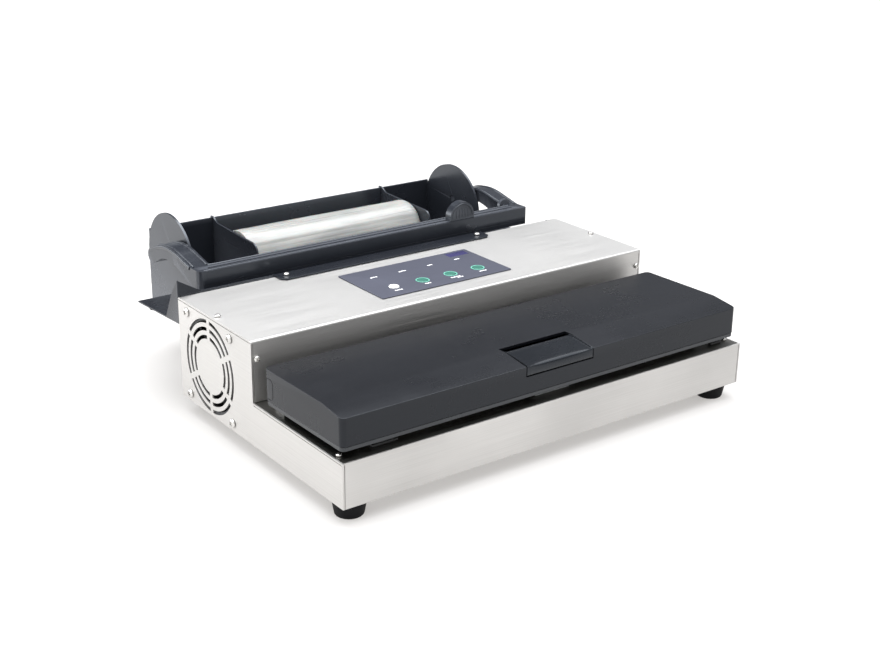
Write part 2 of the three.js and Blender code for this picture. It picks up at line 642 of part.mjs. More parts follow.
add("solenoid_valve", makeSolenoidValve(), "brass");

/** The vacuum hose, from the port under the trough to the cylinder head. */
function makeHose() {
  const portY = (TROUGH.front + TROUGH.rear) / 2;
  const headX = (CRANKCASE.left + CRANKCASE.right) / 2;
  const headZ = MOTOR.z + 24 + GAP + 5;
  const spoutEnd = deckTop - TROUGH.depth - 8 - GAP;
  const route = new THREE.CatmullRomCurve3([
    [TROUGH_PORT_X, portY, spoutEnd], [TROUGH_PORT_X, portY, spoutEnd - 4],
    [TROUGH_PORT_X - 6, portY + 14, 8.5], [TROUGH_PORT_X - 30, portY + 50, 8.5], [headX + 10, TOWER_FRONT + 6, 14],
    [headX + 1, TOWER_FRONT + 10, 38], [headX, TOWER_FRONT + 13, headZ - 14],
    [headX, MOTOR.y - 46, headZ], [headX, MOTOR.y - 40 - GAP, headZ],
  ].map((point) => new THREE.Vector3(...point)));
  const section = new THREE.Shape();
  section.absarc(0, 0, 4, 0, Math.PI * 2);
  const sweep = { steps: 30, curveSegments: 4, bevelEnabled: false, extrudePath: route };
  return solid(new THREE.ExtrudeGeometry(section, sweep));
}

add("vacuum_hose", makeHose(), "rubber");

/** A flanged box that snaps into the rear wall, with an open mouth. */
function makeWallFitting({ x, z, halfWidth, halfHeight }, depth, wall) {
  const y = DEPTH + GAP;
  const clear = GAP;
  const flange = block(
    [x - halfWidth - BEZEL.side, y, z - halfHeight - BEZEL.side],
    [x + halfWidth + BEZEL.side, y + BEZEL.thick, z + halfHeight + BEZEL.side],
  );
  const sleeve = block(
    [x - halfWidth + clear, y - depth, z - halfHeight + clear],
    [x + halfWidth - clear, y + 1, z + halfHeight - clear],
  );
  const mouth = block(
    [x - halfWidth + wall, y - depth + 2, z - halfHeight + wall],
    [x + halfWidth - wall, y + 4, z + halfHeight - wall],
  );
  return cut(flange.add(sleeve), mouth);
}

function makeInlet() {
  const y = DEPTH + GAP;
  const pins = [[-7, -1], [0, 3], [7, -1]].map(([dx, dz]) => block(
    [INLET.x + dx - 1, y - 17, INLET.z + dz - 2], [INLET.x + dx + 1, y - 2, INLET.z + dz + 2],
  ));
  return joined(makeWallFitting(INLET, 18, 1.8), ...pins);
}

add("mains_inlet", makeInlet(), "blackPlastic");
add("rocker_bezel", makeWallFitting(ROCKER, 16, 1.4), "blackPlastic");

const ROCKER_AXIS_Y = DEPTH - 3;

/** The rocker's two pressed faces, about its own axis. */
function makeRocker() {
  const half = ROCKER.halfWidth - 1.4 - GAP;
  const reach = ROCKER.halfHeight - 1.4 - GAP;
  return prism("x", polygon([
    [-5, -reach + 2.2], [3.4, -reach], [4.6, -reach + 0.8], [3, 0],
    [6.2, reach - 1.8], [5, reach - 1.2], [-5, reach - 2.2],
  ]), -half, half);
}

add("power_rocker", makeRocker(), "glossBlack").position.set(ROCKER.x, ROCKER_AXIS_Y, ROCKER.z);

// ---------------------------------------------------------------- roll holder

/** The steel bracket: a flange on the housing, a web with one ear, gussets, and two wings around the tray. */
function makeBracket() {
  const webFront = DEPTH + GAP;
  const webRear = webFront + WALL;
  const flangeZ = TOWER_HEIGHT + GAP;
  const c = FLANGE.chamfer;
  const flangeTop = flangeZ + WALL;
  const rightTop = TOWER_HEIGHT - TOWER_EDGE_RADIUS;
  const flange = prism("z", polygon([
    [-FLANGE.halfWidth, webRear], [-FLANGE.halfWidth, FLANGE.front + c], [-FLANGE.halfWidth + c, FLANGE.front],
    [FLANGE.halfWidth - c, FLANGE.front], [FLANGE.halfWidth, FLANGE.front + c], [FLANGE.halfWidth, webRear],
  ]), flangeZ, flangeZ + WALL);
  const web = prism("y", polygon([
    [SHELF.front - WALL, -HALF_WIDTH], [EAR.top, -HALF_WIDTH], [flangeTop, -HALF_WIDTH + EAR.width],
    [flangeTop, FLANGE.halfWidth], [rightTop, FLANGE.halfWidth + 4], [rightTop, HALF_WIDTH],
    [SHELF.front - WALL, HALF_WIDTH],
  ]), webFront, webRear);
  const shelf = prism("x", polygon([
    [webFront, SHELF.front - WALL], [SHELF.end, SHELF.rear - WALL], [SHELF.end, SHELF.rear], [webFront, SHELF.front],
  ]), -HALF_WIDTH, HALF_WIDTH);
  const trayNotch = centredBlock(TRAY.halfWidth + 2, [TRAY.front - GAP, 60], [SHELF.end + 1, 80]);
  const holes = [-1, 1].map((side) => (
    rod("z", SHANK_HOLE, [side * BRACKET_SCREW.x, BRACKET_SCREW.y], flangeZ - 1, flangeZ + WALL + 1, 8)
  ));
  const gussets = [[-HALF_WIDTH, EAR.top], [HALF_WIDTH - WALL, rightTop]].map(([x, top]) => prism("x", polygon([
    [webFront, SHELF.front - WALL], [GUSSET.foot, SHELF.front - WALL - 1.3], [GUSSET.foot, SHELF.front - 0.8],
    [GUSSET.knee, Math.min(GUSSET.kneeZ, top - 3)], [webFront, top],
  ]), x, x + WALL));
  const rivets = [-1, 1].map((side) => (
    rod("z", RIVET.radius, [side * RIVET.x, RIVET.y], SHELF.rear - 6, SHELF.rear, 16)
  ));
  return cut(joined(flange, web, shelf, ...gussets, ...rivets), trayNotch, ...holes);
}

add("roll_bracket", makeBracket(), "glossBlack");
for (const [end, side] of [["left", -1], ["right", 1]]) {
  const z = TOWER_HEIGHT + GAP + WALL + GAP;
  addScrew(`bracket_screw_${end}`, [side * BRACKET_SCREW.x, BRACKET_SCREW.y, z], "up", 3.2, 6);
}

/** A round-topped end plate of the tray, seen from the side. */
function endPlateShape() {
  const radius = (TRAY.rear - TRAY.front) / 2;
  const centre = (TRAY.rear + TRAY.front) / 2;
  const shape = new THREE.Shape();
  shape.moveTo(TRAY.front, END_PLATE.bottom);
  shape.lineTo(TRAY.rear, END_PLATE.bottom);
  shape.absarc(centre, END_PLATE.centreZ, radius, 0, Math.PI);
  return shape;
}

function makeTray() {
  const { halfWidth, front, rear, bottom, wall, rearTop, frontTop } = TRAY;
  const plates = [-halfWidth, halfWidth - wall].map((x) => prism("x", endPlateShape(), x, x + wall, 14));
  const floor = centredBlock(halfWidth - 1, [front, bottom], [rear, bottom + wall]);
  const frontWall = centredBlock(halfWidth - 1, [front, bottom], [front + wall, frontTop]);
  const rearWall = centredBlock(halfWidth - 1, [rear - wall, bottom], [rear, rearTop]);
  const lip = prism("x", polygon([
    [338, SHELF.front - 2.5], [front + 1, SHELF.front - 3.4], [front + 1, SHELF.front + 1], [338, SHELF.front]
  ]), -halfWidth + 8, halfWidth - 8);
  const pivotHoles = [-1, 1].map((side) => {
    const ends = [side * (halfWidth + 1), side * (halfWidth - wall - 1)].sort((a, b) => a - b);
    return rod("x", PIVOT.radius + GAP, [PIVOT.y, PIVOT.z], ...ends);
  });
  return cut(joined(plates[0], floor, plates[1], frontWall, rearWall, lip), ...pivotHoles);
}

add("roll_tray", makeTray(), "blackPlastic");

/** A divider that stands across the tray and hooks over its rear wall. */
function makeDivider() {
  const { front, rear, wall, bottom, rearTop } = TRAY;
  const inFront = front + wall + GAP;
  const inRear = rear - wall - GAP;
  const floor = bottom + wall + GAP;
  const hookTop = rearTop + GAP;
  const shape = new THREE.Shape();
  shape.moveTo(inFront, floor);
  shape.lineTo(inRear, floor);
  shape.lineTo(inRear, hookTop);
  shape.lineTo(rear + GAP, hookTop);
  shape.lineTo(rear + GAP, rearTop - 10);
  shape.lineTo(REAR_END, rearTop - 10);
  shape.lineTo(REAR_END, hookTop + 1.2);
  shape.lineTo(inRear - 1.5, hookTop + 1.2);
  shape.lineTo(inRear - 10, 111.5);
  shape.lineTo(inFront + 9, 109.5);
  shape.quadraticCurveTo(inFront + 1, 109, inFront, 100);
  return prism("x", shape, -DIVIDER_THICK / 2, DIVIDER_THICK / 2, 4);
}

["roll_divider_left", "roll_divider_right"].forEach((name, i) => {
  add(name, makeDivider(), "blackPlastic").position.x = DIVIDER_X[i];
});

/** A tube along X, about its own axis. */
function makeTube(outer, inner, sides) {
  const long = ROLL.right - ROLL.left;
  return solid(new THREE.LatheGeometry(
    [[inner, 0], [outer, 0], [outer, long], [inner, long], [inner, 0]].map(([r, s]) => new THREE.Vector2(r, s)), sides,
  ).rotateZ(-Math.PI / 2));
}

const rollAxis = [ROLL.left, ROLL.y, TRAY.bottom + TRAY.wall + GAP + ROLL.radius];
add("bag_roll", makeTube(ROLL.radius, ROLL.core + GAP, 36), "film").position.set(...rollAxis);
add("roll_core", makeTube(ROLL.core, ROLL.bore, 24), "cardboard").position.set(...rollAxis);

// ---------------------------------------------------------------- cutter

/** One arched arm, from the bar back to its pivot, seen from the side. */
function armShape() {
  const shape = new THREE.Shape();
  const points = (list) => list.map(([y, z]) => new THREE.Vector2(y, z));
  shape.moveTo(BAR.rear - 2, BAR.top);
  shape.splineThru(points([[335, 118.8], [350, 121.8], [364, 122.8], [380, 121], [394, 116.5], [407.5, 110.4]]));
  shape.absarc(PIVOT.y, PIVOT.z, 8, Math.PI / 3, -Math.PI / 2, true);
  shape.splineThru(points([
    [393, 100], [380, 106.5], [364, 109.3], [350, 107.8], [337, 103.5], [325, 98.5], [BAR.rear - 2, BAR.bottom],
  ]));
  return shape;
}

function makeCutterFrame() {
  const { halfWidth, front, rear, bottom, top, corner } = BAR;
  const plan = new THREE.Shape();
  plan.moveTo(-halfWidth, rear);
  plan.lineTo(-halfWidth, front + corner);
  plan.absarc(-halfWidth + corner, front + corner, corner, Math.PI, Math.PI * 1.5);
  plan.absarc(halfWidth - 2, front + 2, 2, -Math.PI / 2, 0);
  plan.lineTo(halfWidth, rear);
  const bar = prism("z", plan, bottom, top, 6);
  const arms = [-halfWidth, halfWidth - ARM_WIDTH].map((x) => prism("x", armShape(), x, x + ARM_WIDTH, 4));
  const pivots = [-1, 1].map((side) => {
    const ends = [side * (halfWidth - ARM_WIDTH + 1), side * (TRAY.halfWidth - TRAY.wall + 0.5)].sort((a, b) => a - b);
    return rod("x", PIVOT.radius, [PIVOT.y, PIVOT.z], ...ends);
  });
  const track = centredBlock(halfWidth - 14, [BLADE_Y - 1.2, bottom - 1], [BLADE_Y + 1.2, top + 1]);
  const lipGroove = centredBlock(halfWidth + 1, [front - 1, bottom + 4], [front + 0.8, bottom + 5]);
  return cut(joined(bar, ...arms, ...pivots), track, lipGroove);
}

add("cutter_frame", makeCutterFrame(), "blackPlastic");

/** The cutter's half-round grip on its shoe, with the stem that runs in the bar's slot. */
function makeKnob() {
  const shoeTop = BAR.top + 3.5;
  const grip = new THREE.Shape();
  grip.absarc(0, 0, KNOB.radius, -Math.PI / 2, Math.PI / 2);
  const placed = prism("y", grip, KNOB.front, KNOB.rear, 10).translate([0, 0, shoeTop]);
  const shoe = block([-KNOB.radius, KNOB.front, BAR.top + GAP], [KNOB.radius, KNOB.rear, shoeTop + 0.5]);
  const stem = block([-9, BLADE_Y - 0.8, BAR.bottom - 1], [9, BLADE_Y + 0.8, BAR.top + 1]);
  return joined(placed, shoe, stem);
}

function makeBlade() {
  return prism("y", polygon([
    [BAR.bottom - 1 - GAP, -8], [BAR.bottom - 8, 0], [BAR.bottom - 1 - GAP, 8],
  ]), BLADE_Y - 0.3, BLADE_Y + 0.3);
}

add("cutter_knob", makeKnob(), "glossBlack").position.x = KNOB.x;
add("cutter_blade", makeBlade(), "steel").position.x = KNOB.x;

export default machine;
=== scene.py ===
"""The looks of a vacuum sealer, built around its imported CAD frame. Metres, +Z up, front towards -Y."""
import json
import math

import bmesh
import bpy
from mathutils import Matrix, Vector, noise


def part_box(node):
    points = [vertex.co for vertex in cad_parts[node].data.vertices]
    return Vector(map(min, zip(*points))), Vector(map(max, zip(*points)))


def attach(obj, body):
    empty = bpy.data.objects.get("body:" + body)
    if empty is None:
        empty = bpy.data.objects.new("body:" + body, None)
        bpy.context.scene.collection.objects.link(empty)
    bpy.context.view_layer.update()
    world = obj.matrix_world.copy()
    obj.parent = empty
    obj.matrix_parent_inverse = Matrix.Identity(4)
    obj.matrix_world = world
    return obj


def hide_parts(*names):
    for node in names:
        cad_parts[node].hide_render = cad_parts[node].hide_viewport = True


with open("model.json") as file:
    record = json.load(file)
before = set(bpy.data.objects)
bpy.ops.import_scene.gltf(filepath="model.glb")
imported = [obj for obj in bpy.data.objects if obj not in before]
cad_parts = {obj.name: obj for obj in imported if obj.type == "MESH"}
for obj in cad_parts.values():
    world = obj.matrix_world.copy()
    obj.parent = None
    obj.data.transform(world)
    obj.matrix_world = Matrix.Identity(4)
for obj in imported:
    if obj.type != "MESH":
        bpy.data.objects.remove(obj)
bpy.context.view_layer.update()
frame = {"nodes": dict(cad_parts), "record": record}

MM = 0.001
FRONT_FACE = 229.4  # mm from the housing's front face to the frame's middle
FOOT_HEIGHT = 16  # mm


def at(x, y, z):
    """A point in mm, measured from the middle of the housing's front bottom edge, in the row frame."""
    return Vector((x, y - FRONT_FACE, z + FOOT_HEIGHT)) * MM


# ---------------------------------------------------------------- camera

CAMERA = {  # angles in degrees, place in metres
    "azimuth": -36.70, "elevation": 21.11, "roll": 0.789,
    "place": (-0.7736, -1.0830, 0.5636), "lens": 57.18, "sensor": 36,
}


def make_camera():
    azimuth, elevation, roll = (math.radians(CAMERA[angle]) for angle in ("azimuth", "elevation", "roll"))
    back = Vector((
        math.sin(azimuth) * math.cos(elevation),
        -math.cos(azimuth) * math.cos(elevation),
        math.sin(elevation),
    ))
    level = Vector((math.cos(azimuth), math.sin(azimuth), 0))
    upright = back.cross(level)
    right = math.cos(roll) * level + math.sin(roll) * upright
    up = math.cos(roll) * upright - math.sin(roll) * level
    data = bpy.data.cameras.new("camera")
    data.lens = CAMERA["lens"]
    data.sensor_width = CAMERA["sensor"]
    camera = bpy.data.objects.new("camera", data)
    bpy.context.scene.collection.objects.link(camera)
    turn = Matrix((right, up, back)).transposed().to_4x4()
    camera.matrix_world = Matrix.Translation(CAMERA["place"]) @ turn
    bpy.context.scene.camera = camera


make_camera()


# ---------------------------------------------------------------- node helpers


def new_material(name, color, roughness, metallic=0.0, **sockets):
    """A material and its Principled shader. Extra sockets are given by name, with _ for spaces."""
    material = bpy.data.materials.new(name)
    material.use_nodes = True
    shader = material.node_tree.nodes["Principled BSDF"]
    shader.inputs["Base Color"].default_value = (*color, 1)
    shader.inputs["Roughness"].default_value = roughness
    shader.inputs["Metallic"].default_value = metallic
    for socket, value in sockets.items():
        shader.inputs[socket.replace("_", " ")].default_value = value
    return material, shader


def node(tree, kind, settings=None, **inputs):
    """A node with its settings, and its inputs set to numbers or linked to other nodes' outputs.

    An input is given by its name, with _ for spaces, or by its place, as i0, i1 and so on.
    """
    made = tree.nodes.new(kind)
    for name, value in (settings or {}).items():
        setattr(made, name, value)
    for name, value in inputs.items():
        by_place = name[0] == "i" and name[1:].isdigit()
        socket = made.inputs[int(name[1:]) if by_place else name.replace("_", " ")]
        if isinstance(value, bpy.types.NodeSocket):
            tree.links.new(value, socket)
        else:
            socket.default_value = value
    return made


def place(tree, scale=(1, 1, 1)):
    """Object coordinates, in metres, times a scale per axis."""
    position = node(tree, "ShaderNodeTexCoord").outputs["Object"]
    return node(tree, "ShaderNodeMapping", Vector=position, Scale=scale).outputs["Vector"]


def noise_of(tree, vector, scale=1.0, detail=3.0, roughness=0.5):
    """Noise from 0 to 1, mostly near 0.5, with scale cells per unit."""
    made = node(tree, "ShaderNodeTexNoise", Vector=vector, Scale=scale, Detail=detail, Roughness=roughness)
    return made.outputs["Fac"]


def remap(tree, value, low, high, start=0.3, end=0.7):
    """A value that runs from low to high as the one given runs from start to end."""
    span = {"From_Min": start, "From_Max": end, "To_Min": low, "To_Max": high}
    return node(tree, "ShaderNodeMapRange", Value=value, **span).outputs["Result"]


def add(tree, first, second):
    return node(tree, "ShaderNodeMath", {"operation": "ADD"}, i0=first, i1=second).outputs[0]


def shade(color, factor):
    return tuple(c * factor for c in color)


def blend_colors(tree, factor, first, second):
    """The first colour where the factor is 0, the second where it is 1. Each is a colour or an output."""
    made = node(tree, "ShaderNodeMix", {"data_type": "RGBA"}, i0=factor)
    for index, value in ((6, first), (7, second)):
        if isinstance(value, bpy.types.NodeSocket):
            tree.links.new(value, made.inputs[index])
        else:
            made.inputs[index].default_value = (*value, 1)
    return made.outputs[2]


def add_bump(tree, shader, height, strength, distance):
    made = node(tree, "ShaderNodeBump", Height=height, Strength=strength, Distance=distance)
    tree.links.new(made.outputs["Normal"], shader.inputs["Normal"])


def edge_highlight_mask(tree):
    """1 on convex edges, where a painted highlight goes, and 0 elsewhere."""
    pointiness = node(tree, "ShaderNodeNewGeometry").outputs["Pointiness"]
    return remap(tree, pointiness, 0.0, 1.0, 0.52, 0.62)


# ---------------------------------------------------------------- materials


def brushed_steel(name, color, roughness):
    """Sheet steel with its grain along X, and along Y on the walls that face sideways."""
    material, shader = new_material(name, color, roughness, 1.0)
    tree = material.node_tree
    along, across = 9, 1500  # cells per metre
    grain_x = noise_of(tree, place(tree, (along, across, across)), detail=4)
    grain_y = noise_of(tree, place(tree, (across, along, across)), detail=4)
    normal = node(tree, "ShaderNodeNewGeometry").outputs["True Normal"]
    normal_x = node(tree, "ShaderNodeSeparateXYZ", Vector=normal).outputs["X"]
    sideways = node(tree, "ShaderNodeMath", {"operation": "ABSOLUTE"}, i0=normal_x).outputs[0]
    mixed = node(tree, "ShaderNodeMix", {"data_type": "FLOAT"}, i0=sideways, i2=grain_x, i3=grain_y)
    streaks = mixed.outputs[0]
    clouds = noise_of(tree, place(tree, (7, 7, 7)), detail=3)
    tint = blend_colors(tree, remap(tree, clouds, 0, 1), color, shade(color, 0.84))
    tint = blend_colors(tree, remap(tree, streaks, 0, 0.3), tint, shade(color, 0.80))
    tree.links.new(tint, shader.inputs["Base Color"])
    streaky = remap(tree, streaks, roughness - 0.05, roughness + 0.10)
    tree.links.new(add(tree, streaky, remap(tree, clouds, -0.03, 0.05)), shader.inputs["Roughness"])
    add_bump(tree, shader, streaks, 0.04, 0.0002)
    return material


def moulded_plastic(name, color, roughness, grain_size=0.7, bump=0.25, **sockets):
    """Plastic with a fine moulded grain, faint handling marks and paler convex edges that are a painted
    highlight. grain_size is in mm.
    """
    material, shader = new_material(name, color, roughness, 0.0, **sockets)
    shader.inputs["Specular Tint"].default_value = (0.86, 0.92, 1.0, 1)
    tree = material.node_tree
    position = place(tree)
    grain = noise_of(tree, position, 1 / (grain_size * MM), 2)
    clouds = noise_of(tree, position, 14, 4, 0.6)
    marks = noise_of(tree, place(tree, (12, 90, 40)), 1.0, 4, 0.65)
    # convex edges are painted paler as a painted highlight
    painted_highlight = tuple(min(1, c * 2.2 + 0.02) for c in color)
    tint = blend_colors(tree, remap(tree, clouds, 0.0, 0.55), color, shade(color, 1.35))
    tint = blend_colors(tree, edge_highlight_mask(tree), tint, painted_highlight)
    tree.links.new(tint, shader.inputs["Base Color"])
    cloudy = remap(tree, clouds, roughness - 0.04, roughness + 0.05)
    tree.links.new(add(tree, cloudy, remap(tree, marks, 0.0, 0.035, 0.5, 0.75)), shader.inputs["Roughness"])
    add_bump(tree, shader, grain, bump, 0.00008)
    return material


def rubber(name, color, roughness):
    """Matt rubber or foam with a little dust."""
    material, shader = new_material(name, color, roughness, 0.0, Specular_IOR_Level=0.12)
    tree = material.node_tree
    grain = noise_of(tree, place(tree), 900, 3)
    dust = noise_of(tree, place(tree), 60, 4)
    dusty = tuple(c * 2 + 0.006 for c in color)
    tint = blend_colors(tree, remap(tree, dust, 0, 0.4, 0.5, 0.8), color, dusty)
    tree.links.new(tint, shader.inputs["Base Color"])
    add_bump(tree, shader, grain, 0.3, 0.0001)
    return material


def cast_metal(name, color, roughness):
    """Cast or plated metal with a fine even grain."""
    material, shader = new_material(name, color, roughness, 1.0)
    tree = material.node_tree
    grain = noise_of(tree, place(tree), 700, 3)
    clouds = noise_of(tree, place(tree), 30, 4)
    tree.links.new(remap(tree, clouds, roughness - 0.06, roughness + 0.08), shader.inputs["Roughness"])
    tint = blend_colors(tree, remap(tree, clouds, 0, 1), color, shade(color, 0.82))
    tree.links.new(tint, shader.inputs["Base Color"])
    add_bump(tree, shader, grain, 0.2, 0.0001)
    return material


def bag_film(name):
    """Wound clear film: milky, glossy, with its fine embossed net and soft tension lines."""
    material, shader = new_material(
        name, (0.30, 0.30, 0.285), 0.28,
        Subsurface_Weight=0.25, Subsurface_Scale=0.004, Coat_Weight=0.35, Coat_Roughness=0.12,
    )
    tree = material.node_tree
    cells = place(tree, (520, 900, 900))
    net = node(tree, "ShaderNodeTexVoronoi", {"feature": "DISTANCE_TO_EDGE"}, Vector=cells, Scale=1.0)
    tension = noise_of(tree, place(tree, (4, 260, 260)), 1.0, 4, 0.6)
    cloud = noise_of(tree, place(tree, (14, 60, 60)), 1.0, 4, 0.6)
    milky, clear = (0.32, 0.32, 0.30), (0.185, 0.19, 0.185)
    tint = blend_colors(tree, remap(tree, cloud, 0, 1, 0.35, 0.65), milky, clear)
    tint = blend_colors(tree, remap(tree, tension, 0, 0.5), tint, (0.38, 0.38, 0.365))
    tree.links.new(tint, shader.inputs["Base Color"])
    tree.links.new(remap(tree, tension, 0.2, 0.42), shader.inputs["Roughness"])
    embossed = remap(tree, net.outputs["Distance"], 0, 0.25, 0.0, 0.12)
    add_bump(tree, shader, add(tree, embossed, tension), 0.5, 0.0006)
    return material


def card(name):
    """Brown card with its fibres along the roll."""
    material, shader = new_material(name, (0.42, 0.30, 0.17), 0.85)
    tree = material.node_tree
    fibre = noise_of(tree, place(tree, (60, 700, 700)), 1.0, 4)
    tint = blend_colors(tree, remap(tree, fibre, 0, 1), (0.45, 0.33, 0.19), (0.30, 0.21, 0.12))
    tree.links.new(tint, shader.inputs["Base Color"])
    add_bump(tree, shader, fibre, 0.3, 0.0003)
    return material


def wound_copper(name):
    """A coil's turns, one above the other."""
    material, shader = new_material(name, (0.50, 0.20, 0.08), 0.4, 1.0)
    tree = material.node_tree
    waves = node(tree, "ShaderNodeTexWave", {"bands_direction": "Z"}, Vector=place(tree), Scale=180.0)
    turns = waves.outputs["Fac"]
    tint = blend_colors(tree, turns, (0.30, 0.11, 0.05), (0.62, 0.27, 0.11))
    tree.links.new(tint, shader.inputs["Base Color"])
    add_bump(tree, shader, turns, 0.6, 0.0004)
    return material


def solder_mask(name):
    """Green board lacquer with paler tracks."""
    material, shader = new_material(name, (0.02, 0.14, 0.07), 0.4, Coat_Weight=0.4)
    tree = material.node_tree
    bricks = node(tree, "ShaderNodeTexBrick", Vector=place(tree, (90, 140, 90)), Mortar_Size=0.05)
    tracks = bricks.outputs["Fac"]
    tint = blend_colors(tree, tracks, (0.02, 0.15, 0.07), (0.05, 0.26, 0.12))
    tree.links.new(tint, shader.inputs["Base Color"])
    add_bump(tree, shader, tracks, 0.3, 0.0001)
    return material


def print_ink(name, color):
    """Screen-printed ink, very slightly uneven."""
    material, shader = new_material(name, color, 0.45)
    tree = material.node_tree
    uneven = noise_of(tree, place(tree), 800, 3)
    tint = blend_colors(tree, remap(tree, uneven, 0, 0.4), color, shade(color, 0.85))
    tree.links.new(tint, shader.inputs["Base Color"])
    return material


def white_floor():
    """A white table lit from within, so that only faint shadows show on it."""
    white = (0.34, 0.335, 0.33)
    material, shader = new_material("floor_white", white, 0.7, Specular_IOR_Level=0.2)
    shader.inputs["Emission Color"].default_value = (1, 0.97, 0.94, 1)
    shader.inputs["Emission Strength"].default_value = 0.42
    tree = material.node_tree
    clouds = noise_of(tree, place(tree), 1.5, 2)
    tint = blend_colors(tree, remap(tree, clouds, 0, 1), white, (0.33, 0.325, 0.32))
    tree.links.new(tint, shader.inputs["Base Color"])
    return material


MATERIALS = {
    "brushed_steel": brushed_steel("steel_brushed", (0.62, 0.61, 0.595), 0.46),
    # the deck's steel is the housing's steel painted darker: painted shade where the lid overhangs the deck
    "deck_steel_painted_shade": brushed_steel("steel_deck_painted_shade", (0.22, 0.215, 0.20), 0.30),
    "pan_steel": cast_metal("steel_plated", (0.55, 0.56, 0.57), 0.38),
    "aluminium": cast_metal("aluminium_cast", (0.70, 0.71, 0.73), 0.42),
    "screw_steel": cast_metal("screw_bright", (0.74, 0.73, 0.71), 0.24),
    "lid_plastic": moulded_plastic(
        "plastic_lid", (0.004, 0.0044, 0.006), 0.28, bump=0.06, Specular_IOR_Level=0.33,
    ),
    "liner_plastic": moulded_plastic(
        "plastic_liner", (0.014, 0.0145, 0.015), 0.30, bump=0.08, Specular_IOR_Level=0.6,
    ),
    "latch_plastic": moulded_plastic(
        "plastic_latch", (0.003, 0.004, 0.006), 0.26, bump=0.04, Specular_IOR_Level=0.36,
    ),
    "holder_plastic": moulded_plastic(
        "plastic_holder", (0.016, 0.018, 0.023), 0.24, bump=0.08, Specular_IOR_Level=0.6,
    ),
    "bracket_paint": moulded_plastic("paint_black", (0.006, 0.007, 0.010), 0.26, 1.6, 0.2),
    "fitting_plastic": moulded_plastic("plastic_fittings", (0.018, 0.018, 0.018), 0.5),
    "foot_rubber": rubber("rubber_black", (0.004, 0.004, 0.005), 0.6),
    "gasket_foam": rubber("foam_black", (0.02, 0.02, 0.022), 0.95),
    "silicone": rubber("silicone_black", (0.022, 0.020, 0.020), 0.6),
    "panel_film": moulded_plastic("film_violet", (0.042, 0.044, 0.060), 0.34, 0.5, 0.08),
    "white_key": moulded_plastic("key_white", (0.80, 0.80, 0.78), 0.35, bump=0.08),
    "green_key": moulded_plastic("key_green", (0.025, 0.115, 0.085), 0.35, bump=0.08),
    "bag_film": bag_film("film_milky"),
    "core_card": card("card_brown"),
    "copper_winding": wound_copper("copper_wound"),
    "board": solder_mask("board_green"),
    "brass": cast_metal("brass_plain", (0.60, 0.44, 0.20), 0.3),
    "ink_white": print_ink("ink_white", (0.85, 0.85, 0.85)),
    "ink_green": print_ink("ink_green", (0.13, 0.40, 0.31)),
    "window_dark": moulded_plastic(
        "window_dark", (0.008, 0.007, 0.034), 0.25, bump=0.05, Specular_IOR_Level=0.15,
    ),
}

node_slots = {row["node"]: row["material_slot"] for row in frame["record"]["subparts"]}
bodies = frame["record"]["behaviour"]["bodies"]
body_of_node = {name: body for body, names in bodies.items() for name in names}
for name, cad in frame["nodes"].items():
    cad.data.materials.clear()
    cad.data.materials.append(MATERIALS[node_slots[name]])


# ---------------------------------------------------------------- mesh helpers


def finish_mesh(bm, name, materials, smooth_angle=32):
    """An object from a bmesh, smooth except across edges sharper than the angle."""
    bmesh.ops.recalc_face_normals(bm, faces=bm.faces)
    for face in bm.faces:
        face.smooth = True
    for edge in bm.edges:
        edge.smooth = len(edge.link_faces) != 2 or edge.calc_face_angle(0) < math.radians(smooth_angle)
    mesh = bpy.data.meshes.new(name)
    bm.to_mesh(mesh)
    bm.free()
    for material in materials:
        mesh.materials.append(material)
    piece = bpy.data.objects.new(name, mesh)
    bpy.context.scene.collection.objects.link(piece)
    return piece


def round_edges(bm, width, segments=3, angle=30, chosen=None):
    """Rounds the edges sharper than the angle whose middle is chosen. width is in mm."""
    sharp = [
        e for e in bm.edges
        if len(e.link_faces) == 2 and e.calc_face_angle(0) > math.radians(angle)
        and (chosen is None or chosen((e.verts[0].co + e.verts[1].co) / 2))
    ]
    bmesh.ops.bevel(
        bm, geom=sharp, offset=width * MM, segments=segments, profile=0.5, affect="EDGES", clamp_overlap=True,
    )


def weighted_normals(piece):
    """Keeps the flat faces beside rounded edges looking flat."""
    modifier = piece.modifiers.new("flat_faces", "WEIGHTED_NORMAL")
    modifier.keep_sharp = True
    modifier.weight = 80
    return piece


def stand_in(piece, *nodes):
    """piece replaces CAD nodes of one body and rides with their body."""
    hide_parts(*nodes)
    return detail(piece, nodes[0])


def detail(piece, node_name):
    """piece is a detail on a CAD node: it rides with it."""
    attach(piece, body_of_node[node_name])
    return piece


def merged_node(name):
    """The CAD node's shape with its coplanar facets merged."""
    bm = bmesh.new()
    bm.from_mesh(frame["nodes"][name].data)
    bmesh.ops.remove_doubles(bm, verts=bm.verts, dist=2e-6)
    bmesh.ops.dissolve_limit(bm, angle_limit=math.radians(0.6), verts=bm.verts, edges=bm.edges)
    return bm


def refine(name, width, segments=3):
    """The CAD node's shape with its edges rounded by a width in mm."""
    bm = merged_node(name)
    round_edges(bm, width, segments)
    piece = finish_mesh(bm, f"{name}_finished", [MATERIALS[node_slots[name]]])
    return stand_in(weighted_normals(piece), name)


def add_box(bm, low, high):
    """A box between two corners in the row frame. Returns its vertices."""
    made = bmesh.ops.create_cube(bm, size=1)["verts"]
    middle, size = (low + high) / 2, high - low
    for v in made:
        v.co = Vector(middle[i] + v.co[i] * size[i] for i in range(3))
    return made


def skin(bm, rings, closed=False):
    """Faces between rings of vertices, and from the last ring back to the first if closed."""
    count = len(rings[0])
    for near, far in zip(rings, rings[1:] + (rings[:1] if closed else [])):
        for i in range(count):
            bm.faces.new((near[i], near[(i + 1) % count], far[(i + 1) % count], far[i]))


def loft(bm, rings):
    """A body through rings of vertices, with both ends capped."""
    skin(bm, rings)
    bm.faces.new(rings[0])
    bm.faces.new(reversed(rings[-1]))


